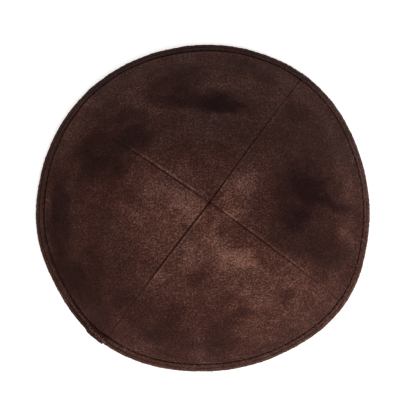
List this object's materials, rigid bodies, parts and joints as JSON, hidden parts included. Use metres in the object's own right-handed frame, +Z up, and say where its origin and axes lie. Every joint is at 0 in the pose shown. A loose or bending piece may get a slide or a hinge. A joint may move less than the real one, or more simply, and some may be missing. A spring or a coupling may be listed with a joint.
{
  "type": "kippah skullcap",
  "caption": "Shallow round suede skullcap sewn from crown panels that meet at the top, its lower edge bound with a folded strip; lies on its rim, open underneath.",
  "frame": {"origin": "centre of the rim's outline on the surface that the cap lies on", "axes": "+Z up through the crown, -Y towards the front, +X to the right"},
  "size_m": [0.1751, 0.1718, 0.053],
  "materials": {
    "suede": "dark brown napped suede, matt, with brushed darker and lighter patches",
    "binding_suede": "the same dark brown suede, folded over the edge and topstitched",
    "thread": "very dark brown matt sewing thread"
  },
  "bodies": {
    "root": {"panel_back": "suede", "panel_left": "suede", "panel_front": "suede", "panel_right": "suede", "rim_binding": "binding_suede"}
  },
  "joints": []
}
